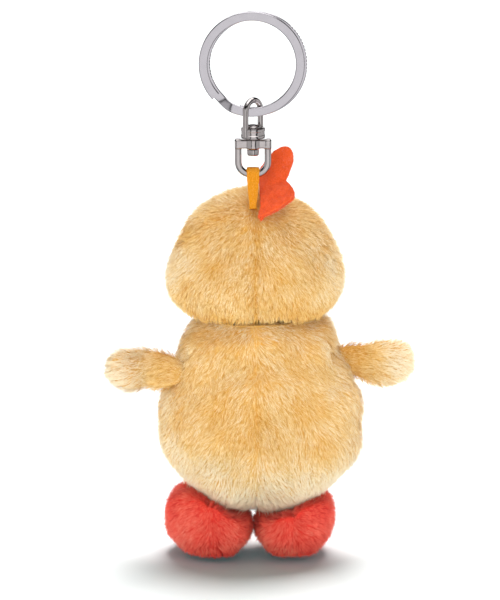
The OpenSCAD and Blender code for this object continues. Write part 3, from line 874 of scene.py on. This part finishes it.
def knit(name, colour):
    """A fine warp knit: columns of stitches that lean to one side and then to the other."""
    material, shader = new_material(
        name, roughness=0.75, sheen_weight=0.05, sheen_tint=(*colour, 1), specular_ior_level=0.15,
    )
    place = add_node(material, "TexCoord").outputs["Object"]
    columns = add_node(material, "TexWave", {
        "Vector": place, "Scale": 900, "Distortion": 4, "Detail": 2, "Detail Scale": 2,
    }, bands_direction="X")
    rows = add_node(material, "TexWave", {
        "Vector": place, "Scale": 900, "Distortion": 9, "Detail": 2, "Detail Scale": 3,
    }, bands_direction="Z")
    stitches = {0: columns.outputs["Fac"], 1: rows.outputs["Fac"]}
    both = add_node(material, "Math", stitches, operation="MULTIPLY")
    # The stitch field also colours the knit: painted shade in its low parts, painted highlight on its tops
    dark = mix_colours(colour, (0.3, 0.04, 0), 0.42)
    pale = mix_colours(colour, (1, 0.9, 0.5), 0.3)
    stops = [(0.0, dark), (0.3, colour), (1.0, pale)]
    surface(material, shader, both.outputs[0], stops, both.outputs[0], 0.9, 0.0002)
    return material


def settle(piece, body, slot, *nodes):
    """Puts a piece on its body, in place of the CAD nodes that it stands for."""
    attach(piece, body)
    if nodes:
        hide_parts(*nodes)


def make_ring():
    """Flat wire in two turns that lie side by side, a little off each other's centre, with milled edges."""
    low, high = span("split_ring")
    centre = (low + high) / 2
    wire_w = 2.35
    wire_t = (high - low)[1] / 2 - 0.06
    gap = 0.08
    middle = (high - low)[0] / 2 - 0.1 - wire_w / 2
    start = 318  # degrees: where the wire begins, how long it crosses over, and the gap at its ends
    cross = 26
    open_end = 1.2
    turn = 360 - cross - open_end
    angle = np.arange(0, 2 * turn + cross, 0.4)
    share = step(turn, turn + cross, angle)
    offset = (wire_t + gap) / 2 * (1 - 2 * share)
    section = rounded(wire_w, wire_t, 0.26, 6)
    around = np.radians(start + angle)
    facing = (start + angle) % 360

    # Milled stretches: inside on the left of the back turn, outside on its right
    inside = step(335, 342, facing) + step(25, 15, facing)
    outside = step(128, 138, facing) * step(192, 182, facing)
    pitch = 0.9
    deep = 0.3
    phase = 2 * math.pi * (np.radians(angle) * middle / pitch)[:, None] + section[None, :, 1] * 4
    mill = deep * (0.5 + 0.5 * np.sin(phase))
    inner = step(-wire_w / 2 + 0.25, -wire_w / 2, section[:, 0])
    outer = step(wire_w / 2 - 0.25, wire_w / 2, section[:, 0])
    milled = inner * (inside * share)[:, None] - outer * (outside * share)[:, None]
    radial = section[:, 0] + mill * milled
    out = np.stack([np.cos(around), np.zeros_like(around), np.sin(around)], axis=1)
    shift = np.array([-0.7, 0, 0])
    centre = centre - shift / 2
    points = centre + out[:, None] * (middle + radial)[..., None]
    points = points + np.array([0, 1, 0]) * (offset[:, None] + section[None, :, 1])[..., None]
    points = points + shift * share[:, None, None]
    ring = sweep(points)
    piece = skin_piece("ring", ring, ring_steel)
    piece.data.set_sharp_from_angle(angle=math.radians(50))
    settle(piece, "key_ring", "ring_steel", "split_ring")


def make_bail():
    """The U of wire and the drilled collar that it is cast on."""
    low, high = span("swivel_eye")
    axis = np.array([0, pivot("swivel_spin")[1], 0])
    wire = 0.8  # radii of the wire, of the arch and of the collar
    leg = 2.9
    r = 3.2
    collar_h = 2.9
    yaw = math.radians(48)
    arch_z = high[2] - leg - wire - 0.6  # below the CAD's, as the thinner wire allows
    flat = np.array([math.cos(yaw), math.sin(yaw), 0])
    around = np.linspace(0, math.pi, 33)[:, None]
    arch = axis + arch_z * UP + leg * (np.cos(around) * flat + np.sin(around) * UP)
    leg_z = low[2] + 0.55
    drops = np.linspace(leg_z, arch_z, 12)[:-1]
    first = axis + leg * flat + drops[:, None] * UP
    second = axis - leg * flat + drops[::-1, None] * UP
    path = np.concatenate([first, arch, second])
    thick = np.interp(path[:, 2], [leg_z, arch_z, arch_z + leg], [1.0, 0.94, 1.0])
    across = np.broadcast_to(np.cross(flat, UP), path.shape)
    legs = tube(path, across, circle(wire, 24) * thick[:, None, None])
    z = low[2]
    collar = lathe([
        (0.02, z), (r - 0.35, z), (r - 0.1, z + 0.1), (r, z + 0.3), (r, z + 0.9), (r - 0.1, z + 1.0),
        (r - 0.1, z + collar_h - 1.0), (r, z + collar_h - 0.9), (r, z + collar_h - 0.3),
        (r - 0.1, z + collar_h - 0.1), (r - 0.35, z + collar_h), (0.02, z + collar_h),
    ], axis)
    settle(fuse("bail", [legs, collar], nickel), "swivel_top", "swivel_nickel", "swivel_eye")


def make_rivet():
    """A domed head over the collar and a hammered tail under the yoke's bar."""
    low, high = span("swivel_rivet")
    axis = np.array([0, pivot("swivel_spin")[1], 0])
    shank = 1.0  # radii
    tail = 1.65
    head = 1.95
    tail_h = 1.7
    dome_h = 0.78
    z = low[2]
    brim = high[2] - 0.3 - dome_h
    body = lathe(
        [(0.02, z + 0.12), (tail * 0.45, z + 0.1), (tail * 0.55, z), (tail - 0.3, z + 0.02)]
        + [(tail - 0.08, z + 0.2), (tail, z + 0.45), (tail, z + tail_h - 0.1), (shank, z + tail_h)]
        + [(shank, brim - 0.12), (head - 0.1, brim - 0.12), (head, brim)]
        + [(head * math.cos(a), brim + dome_h * math.sin(a)) for a in np.linspace(0.1, 1.56, 10)],
        axis,
    )
    flats = np.arctan2(body.points[:, 1] - axis[1], body.points[:, 0])
    low_part = step(low[2] + tail_h, low[2] + tail_h - 0.3, body.points[:, 2])
    pinch = 1 - 0.09 * low_part * (0.5 + 0.5 * np.cos(6 * flats))
    body.points[:, :2] = axis[:2] + (body.points[:, :2] - axis[:2]) * pinch[:, None]
    piece = skin_piece("rivet", body, nickel)
    piece.data.set_sharp_from_angle(angle=math.radians(40))
    settle(piece, "swivel_top", "swivel_nickel", "swivel_rivet")


def make_yoke():
    """The drilled bar with its ears and the flattened arms that run round under it."""
    low, high = span("swivel_yoke")
    axis = np.array([0, pivot("swivel_spin")[1], 0])
    rod_z = pivot("yoke_swing")[2]
    bar_t = 2.6
    bar_d = 2.8
    boss_r = 2.1
    bend = 3.3
    wire = 1.8
    half = (high - low)[0] / 2
    arm_x = half - wire / 2
    side = np.array([1.0, 0, 0])
    forward = np.array([0, 1.0, 0])
    turn = np.linspace(0, math.pi / 2, 13)
    right = [(arm_x - bend + bend * math.cos(a), rod_z + bend - bend * math.sin(a)) for a in turn]
    rod = np.linspace(arm_x - bend, -(arm_x - bend), 7)[1:-1]
    arm = np.linspace(high[2] - 0.5, rod_z + bend, 8)[:-1]
    outline = [(arm_x, z) for z in arm] + right + [(x, rod_z) for x in rod]
    outline += [(-x, z) for x, z in right[::-1]] + [(-arm_x, z) for z in arm[::-1]]
    path = axis + np.array([x * side + z * UP for x, z in outline])
    across = np.broadcast_to(forward, path.shape)
    deep = np.interp(path[:, 2], [rod_z, rod_z + bend, high[2]], [1.0, 1.12, 1.3])
    shape = rounded(wire, wire, 0.62, 6)[None] * np.stack([deep, np.ones_like(deep)], axis=1)[:, None]
    arms = tube(path, across, shape)
    stations = np.linspace(-half - 0.05, half + 0.05, 25)
    ear = np.abs(stations) / half
    fat = 0.9 + 0.12 * step(0.55, 0.85, ear) - 0.2 * step(0.93, 1.03, ear)
    face = rounded(bar_d, bar_t, 0.45, 5)
    middle = high[2] - bar_t / 2
    bar = sweep(
        axis + stations[:, None, None] * side + middle * UP
        + (face[None] * fat[:, None, None]) @ np.array([forward, UP])
    )
    z = high[2]
    boss = lathe([
        (0.02, z - bar_t), (boss_r - 0.3, z - bar_t), (boss_r, z - bar_t + 0.3), (boss_r, z - 0.3),
        (boss_r - 0.3, z - 0.02), (0.02, z - 0.02),
    ], axis)
    settle(fuse("yoke", [arms, bar, boss], nickel, bevel=0.08), "yoke", "swivel_nickel", "swivel_yoke")


def make_tape():
    """A folded knit tape over the yoke's rod, its ends sewn together in the head's seam."""
    rod = pivot("yoke_swing")
    rod_r = 0.9
    thick = 0.85
    r = rod_r + thick / 2 + 0.12
    to_seam = tape_foot[1:] - rod[1:]
    reach = np.linalg.norm(to_seam)
    down = to_seam / reach
    beside = np.array([-down[1], down[0]])
    pressed = 0.42 * thick  # half of what is between the two layers where they touch

    def layer(side, share):
        """A point of one layer, from 0 at the rod to 1 at the seam."""
        spread = pressed + (r - pressed) * max(1 - share, 0) ** 0.7
        return reach * share * down + side * spread * beside

    path = [layer(1, share) for share in np.linspace(1.3, 0.1, 14)]
    path += [r * math.cos(a) * beside - r * math.sin(a) * down for a in np.linspace(0, math.pi, 21)]
    path += [layer(-1, share) for share in np.linspace(0.1, 1.3, 14)]
    path = np.array([[0, *p] for p in path]) + [0, *rod[1:]]
    even = np.linspace(0, len(path) - 1, 160)
    path = np.stack([np.interp(even, np.arange(len(path)), path[:, k]) for k in range(3)], axis=1)
    wide = np.interp(path[:, 2], [tape_foot[2] - 1, rod[2] - 1], [1.9, 3.25])
    across = np.broadcast_to(np.array([1.0, 0, 0]), path.shape)
    strip = rounded(1, 1, 0.2, 5)
    outlines = strip[None] * np.stack([wide, np.full(len(path), thick)], axis=1)[:, None]
    band = tube(path, across, outlines)
    stitch = np.sin(band.points[:, 0] * 2 * math.pi / 0.42) * np.sin(band.points[:, 2] * 2 * math.pi / 0.5)
    band.push(0.035 * stitch + 0.02 * ripple(band.points, 0.8, 15))
    piece = skin_piece("tape", band, tape_knit)
    settle(piece, "loop", "loop_tape", "hanging_loop")


def remeshed(node, voxel):
    """A fine even skin over a copy of a CAD node."""
    copy = bpy.data.objects.new("copy", frame["nodes"][node].data.copy())
    bpy.context.scene.collection.objects.link(copy)
    even = copy.modifiers.new("even", "REMESH")
    even.mode = "VOXEL"
    even.voxel_size = voxel * MM
    round_off = copy.modifiers.new("round", "SMOOTH")
    round_off.factor = 0.5
    round_off.iterations = 4
    mesh = bpy.data.meshes.new_from_object(copy.evaluated_get(bpy.context.evaluated_depsgraph_get()))
    bpy.data.objects.remove(copy)
    points = np.empty(len(mesh.vertices) * 3, np.float32)
    mesh.vertices.foreach_get("co", points)
    corners = [tuple(p.vertices) for p in mesh.polygons]
    quads = np.array([c for c in corners if len(c) == 4])
    triangles = np.array([c for c in corners if len(c) == 3], int).reshape(-1, 3)
    return Skin(points.reshape(-1, 3).astype(float) / MM, quads, triangles)


def make_felt_piece(name, node, slot, seed):
    """A felt part of the head in place of its CAD node, with loose fibres on it."""
    skin = remeshed(node, 0.2)
    skin.push(0.05 * ripple(skin.points, 1.2, seed))
    piece = skin_piece(name, skin, comb_felt)
    fuzz = make_pile(
        f"{name}_fuzz", skin, lambda p: DOWN + 0 * p, comb_tones, seed, per_square=14, length=0.55,
        width=0.07, stand=30, lie=70, gather=0.2, variety=0.1,
    )
    settle(piece, "head", slot, node)
    settle(fuzz, "head", slot)


def make_eye(side):
    """A glossy black bead where the CAD's eye is."""
    node = f"eye_{side}"
    piece = skin_piece(node + "_bead", remeshed(node, 0.14), eye_gloss)
    settle(piece, "head", "eye_plastic", node)


ring_steel = metal("ring_steel", linear(202, 198, 202), 0.14, 0.05)
nickel = metal("swivel_nickel", linear(196, 189, 187), 0.1, 0.12)
COMB = linear(232, 84, 20)
AMBER = linear(250, 160, 2)
tape_knit = knit("loop_tape", AMBER)
comb_felt = felt("comb_felt", COMB)
FUZZ = [mix_colours(COMB, (0, 0, 0), 0.2), COMB, mix_colours(COMB, (1, 1, 1), 0.12)]
comb_tones = pile_tones("comb_fuzz", FUZZ, 0.2)
BLACK = (0.006, 0.006, 0.007, 1)
eye_gloss, _ = new_material("eye_gloss", base_color=BLACK, roughness=0.06, coat_weight=0.6)

make_ring()
make_bail()
make_rivet()
make_yoke()
make_tape()
for name, node, seed in (("comb_left", "comb_left_felt", 31), ("comb_right", "comb_right_felt", 32)):
    make_felt_piece(name, node, "comb_felt", seed)
for name, seed in (("beak_upper", 33), ("beak_lower", 34)):
    make_felt_piece(name + "_felt", name, "beak_felt", seed)
for side in ("left", "right"):
    make_eye(side)


# ---- floor and light ----

def make_floor():
    """A white sheet under the soles' nap."""
    material, _ = new_material("floor", base_color=(0.72, 0.72, 0.72, 1), roughness=0.6)
    half = 4000
    level = floor_z - SOLE_NAP
    corners = [[-half, -half, level], [half, -half, level], [half, half, level], [-half, half, level]]
    floor = make_piece("floor", np.array(corners, float), [[0, 1, 2, 3]], materials=[material])
    floor.visible_glossy = False
    return floor


def make_sun(name, towards, strength, spread, mirrored=False):
    """A soft sun that shines along a direction. spread is its width in degrees."""
    sun = bpy.data.objects.new(name, bpy.data.lights.new(name, "SUN"))
    sun.data.energy = strength
    sun.data.angle = math.radians(spread)
    sun.visible_glossy = mirrored
    sun.rotation_euler = Vector(towards).to_track_quat("-Z", "Y").to_euler()
    bpy.context.scene.collection.objects.link(sun)
    return sun


AMBIENT = 0.33  # how bright the room is to the soft surfaces


def make_world():
    """An even white room for soft surfaces, which mirrors see as panels with dark gaps between them."""
    world = bpy.data.worlds.new("studio")
    bpy.context.scene.world = world
    world.use_nodes = True

    def panels(axis, stops):
        """Grey bands along one axis of the room. stops are (place, grey)."""
        inputs = {"Value": axes.outputs[axis], "From Min": -0.85, "From Max": 1.15}
        place = add_node(world, "MapRange", inputs).outputs[0]
        return colour_ramp(world, place, [(at, (grey, grey, grey * 1.01)) for at, grey in stops])

    def mix(a, b, share, blend_type="MIX"):
        """One colour over another."""
        inputs = {"Factor": share, "A": a, "B": b}
        return add_node(world, "Mix", inputs, data_type="RGBA", blend_type=blend_type).outputs["Result"]

    direction = add_node(world, "TexCoord").outputs["Generated"]
    waves = add_node(world, "TexNoise", {"Vector": direction, "Scale": 2.2, "Detail": 1.0})
    sway = {0: waves.outputs["Color"], 1: (0.3, 0.3, 0.3), 2: direction}
    bent = add_node(world, "VectorMath", sway, operation="MULTIPLY_ADD")
    axes = add_node(world, "SeparateXYZ", {"Vector": bent.outputs[0]})
    across = panels("X", [
        (0.0, 0.62), (0.13, 0.62), (0.16, 0.03), (0.24, 0.03), (0.29, 1), (0.63, 1), (0.66, 0.03),
        (0.7, 0.03), (0.73, 0.62),
    ])
    height = panels("Z", [
        (0.0, 0.85), (0.2, 0.5), (0.33, 1), (0.6, 1), (0.68, 0.05), (0.82, 0.05), (0.88, 0.95),
    ])
    ray = add_node(world, "LightPath")
    soft = (AMBIENT, AMBIENT, AMBIENT, 1)
    room = mix(soft, mix(across, height, 1, "MULTIPLY"), ray.outputs["Is Glossy Ray"])
    white = (1, 1, 1, 1)  # past the floor's edge the room looks as white as the floor
    seen = mix(room, white, ray.outputs["Is Camera Ray"])
    world.node_tree.links.new(seen, world.node_tree.nodes["Background"].inputs["Color"])


def light_only(suns, floor, state):
    """Links the suns to the floor alone, or to all but the floor."""
    linked = bpy.data.collections.new("floor_" + state.lower())
    linked.objects.link(floor)
    linked.collection_objects[0].light_linking.link_state = state
    for sun in suns:
        sun.light_linking.receiver_collection = linked


def make_light(floor):
    """Soft suns round the chick, and suns of the floor's own for the shadow under the feet."""
    on_plush = [
        make_sun("overhead", [0.03, 0.1, -1], 1.7, 70, mirrored=True),
        make_sun("back", [-0.1, -1, -0.12], 1.85, 60),
        make_sun("face", [0.2, 1, -0.15], 1.6, 40),
        make_sun("left", [-1, -0.35, -0.1], 1.4, 60),
        make_sun("right", [1, -0.35, -0.1], 1.4, 60),
    ]
    light_only(on_plush, floor, "EXCLUDE")
    cool = make_sun("floor_cool", [0, 0, -1], 0.28, 10)
    cool.data.color = (0.05, 0.95, 1)  # evens out the red that the feet throw on the floor
    cool.data.use_shadow = False
    light_only([make_sun("floor", [0.1, 0.36, -1], 5.8, 34), cool], floor, "INCLUDE")
    make_world()
    view = bpy.context.scene.view_settings
    view.view_transform = "Standard"
    view.look = "None"


make_light(make_floor())
